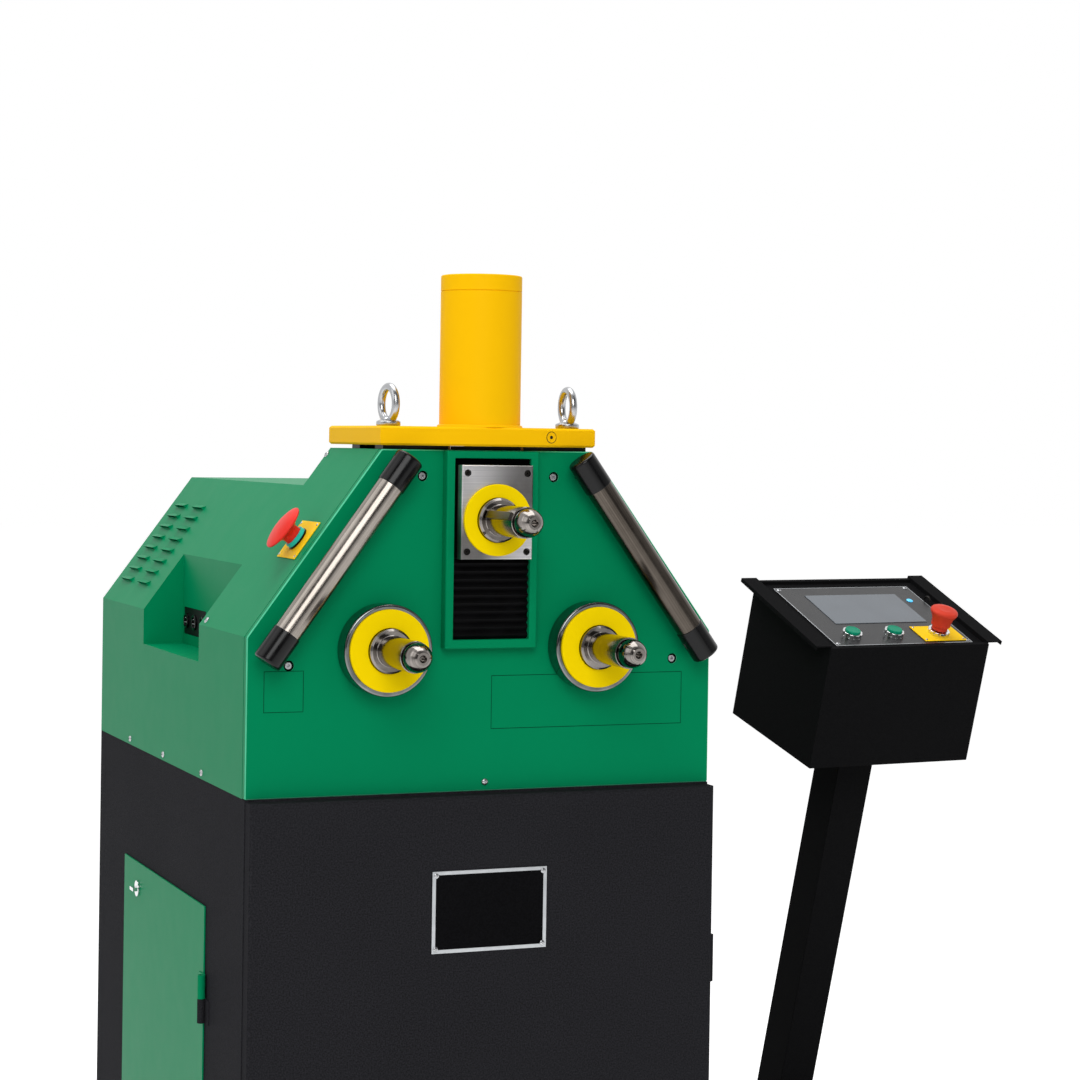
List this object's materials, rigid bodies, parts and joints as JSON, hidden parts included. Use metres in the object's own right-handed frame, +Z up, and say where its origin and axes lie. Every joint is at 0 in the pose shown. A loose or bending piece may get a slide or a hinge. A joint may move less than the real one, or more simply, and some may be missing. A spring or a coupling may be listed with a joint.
{
  "type": "ring roller",
  "caption": "Floor-standing hydraulic ring and section roller: three roll shafts in a sloped hood on a cabinet, with a console on a leaning post.",
  "frame": {"origin": "on the floor at the centre of the cabinet's underside", "axes": "+X to the operator's right along the front, +Y to the back, away from the operator, +Z up"},
  "size_m": [1.2598, 0.919, 1.3855],
  "materials": {
    "green_paint": "satin green enamel",
    "yellow_paint": "satin amber enamel",
    "disc_yellow": "satin bright yellow enamel",
    "textured_black": "fine-textured black powder coat",
    "satin_black": "satin black",
    "nameplate": "bare black-coated plate",
    "ground_steel": "ground and turned steel",
    "dark_steel": "blackened steel",
    "cast_grey": "painted cast iron",
    "chrome": "polished chrome",
    "zinc_plated": "bright zinc plating",
    "bronze": "machined bronze",
    "black_rubber": "matt black",
    "turquoise_plastic": "gloss turquoise",
    "red_plastic": "gloss red",
    "green_plastic": "gloss green",
    "screen": "grey screen face"
  },
  "bodies": {
    "machine": {"base_cabinet": "textured_black", "power_pack": "cast_grey", "electrics_box": "cast_grey", "left_hood_cover": "green_paint", "right_hood_cover": "green_paint", "socket_block": "black_rubber", "front_plate": "green_paint", "slot_frame": "green_paint", "head_frame": "dark_steel", "ram_guide": "bronze", "lower_bellows": "black_rubber", "upper_bellows": "black_rubber", "top_plate": "yellow_paint", "cylinder_tube": "yellow_paint", "cylinder_cap": "yellow_paint", "left_eye_bolt": "zinc_plated", "right_eye_bolt": "zinc_plated", "lower_left_bearings": "ground_steel", "lower_left_cover_disc": "disc_yellow", "lower_left_bearing_housing": "ground_steel", "lower_left_roll_drive": "cast_grey", "lower_right_bearings": "ground_steel", "lower_right_cover_disc": "disc_yellow", "lower_right_bearing_housing": "ground_steel", "lower_right_roll_drive": "cast_grey", "left_face_bar": "ground_steel", "right_face_bar": "ground_steel", "side_stop_plate": "yellow_paint", "side_stop_body": "turquoise_plastic", "pedestal_stand": "satin_black", "console_box": "satin_black", "control_panel": "satin_black", "touch_screen": "screen", "left_button_bezel": "chrome", "right_button_bezel": "chrome", "console_stop_plate": "yellow_paint", "console_stop_body": "chrome"},
    "ram": {"ram_block": "dark_steel", "ram_face_plate": "ground_steel", "upper_bearings": "ground_steel", "upper_cover_disc": "disc_yellow", "upper_roll_drive": "cast_grey", "piston_rod": "chrome"},
    "upper_roll": {"upper_roll_shaft": "ground_steel", "upper_roll_key": "dark_steel"},
    "lower_left_roll": {"lower_left_roll_shaft": "ground_steel", "lower_left_roll_key": "dark_steel"},
    "lower_right_roll": {"lower_right_roll_shaft": "ground_steel", "lower_right_roll_key": "dark_steel"},
    "front_door": {"front_door": "textured_black", "nameplate": "nameplate"},
    "front_door_lock": {"front_door_lock": "chrome"},
    "side_door": {"side_access_door": "green_paint"},
    "side_door_lock": {"side_door_lock": "chrome"},
    "side_stop_plunger": {"side_stop_stem": "dark_steel"},
    "side_stop_knob": {"side_stop_head": "red_plastic"},
    "console_stop_plunger": {"console_stop_stem": "dark_steel"},
    "console_stop_knob": {"console_stop_head": "red_plastic"},
    "left_button": {"left_button_cap": "green_plastic"},
    "right_button": {"right_button_cap": "green_plastic"}
  },
  "joints": [
    {"name": "ram_slide", "type": "slide", "parent": "machine", "child": "ram", "axis": [0, 0, 1], "range_m": [-0.08, 0], "deforming": ["lower_bellows", "upper_bellows"]},
    {"name": "lower_left_roll_spin", "type": "hinge", "parent": "machine", "child": "lower_left_roll", "pos_m": [-0.1369, -0.3835, 0.9271], "axis": [0, 1, 0], "continuous": true},
    {"name": "lower_right_roll_spin", "type": "hinge", "parent": "machine", "child": "lower_right_roll", "pos_m": [0.1369, -0.3835, 0.9271], "axis": [0, 1, 0], "continuous": true},
    {"name": "upper_roll_spin", "type": "hinge", "parent": "ram", "child": "upper_roll", "pos_m": [0, -0.3835, 1.0843], "axis": [0, 1, 0], "continuous": true},
    {"name": "front_door_hinge", "type": "hinge", "parent": "machine", "child": "front_door", "pos_m": [0.311, -0.3835, 0.38], "axis": [0, 0, 1], "range_deg": [0, 110]},
    {"name": "front_door_lock_turn", "type": "hinge", "parent": "front_door", "child": "front_door_lock", "pos_m": [-0.261, -0.3835, 0.4], "axis": [0, 1, 0], "range_deg": [-90, 0]},
    {"name": "side_door_hinge", "type": "hinge", "parent": "machine", "child": "side_door", "pos_m": [-0.311, -0.2205, 0.4], "axis": [0, 0, 1], "range_deg": [0, 110]},
    {"name": "side_door_lock_turn", "type": "hinge", "parent": "side_door", "child": "side_door_lock", "pos_m": [-0.305, 0.1325, 0.56], "axis": [1, 0, 0], "range_deg": [-90, 0]},
    {"name": "side_stop_press", "type": "slide", "parent": "machine", "child": "side_stop_plunger", "axis": [0.8064, 0, -0.5914], "range_m": [0, 0.005], "stiffness_N_per_m": 900, "springref_m": -0.004},
    {"name": "side_stop_twist", "type": "hinge", "parent": "side_stop_plunger", "child": "side_stop_knob", "pos_m": [-0.22221, -0.3185, 1.05629], "axis": [-0.8064, 0, 0.5914], "range_deg": [-45, 0], "stiffness_Nm_per_rad": 0.1, "springref_deg": 11.46},
    {"name": "console_stop_press", "type": "slide", "parent": "machine", "child": "console_stop_plunger", "axis": [-0.04, 0.3958, -0.9175], "range_m": [0, 0.004], "stiffness_N_per_m": 900, "springref_m": -0.004},
    {"name": "console_stop_twist", "type": "hinge", "parent": "console_stop_plunger", "child": "console_stop_knob", "pos_m": [0.81062, -0.10205, 0.90813], "axis": [0.04, -0.3958, 0.9175], "range_deg": [-45, 0], "stiffness_Nm_per_rad": 0.1, "springref_deg": 11.46},
    {"name": "left_button_press", "type": "slide", "parent": "machine", "child": "left_button", "axis": [-0.04, 0.3958, -0.9175], "range_m": [0, 0.0028], "stiffness_N_per_m": 400, "springref_m": -0.003},
    {"name": "right_button_press", "type": "slide", "parent": "machine", "child": "right_button", "axis": [-0.04, 0.3958, -0.9175], "range_m": [0, 0.0028], "stiffness_N_per_m": 400, "springref_m": -0.003}
  ],
  "couplings": [
    {"joint": "lower_right_roll_spin", "follows": "lower_left_roll_spin", "ratio": 1},
    {"joint": "upper_roll_spin", "follows": "lower_left_roll_spin", "ratio": -1}
  ]
}
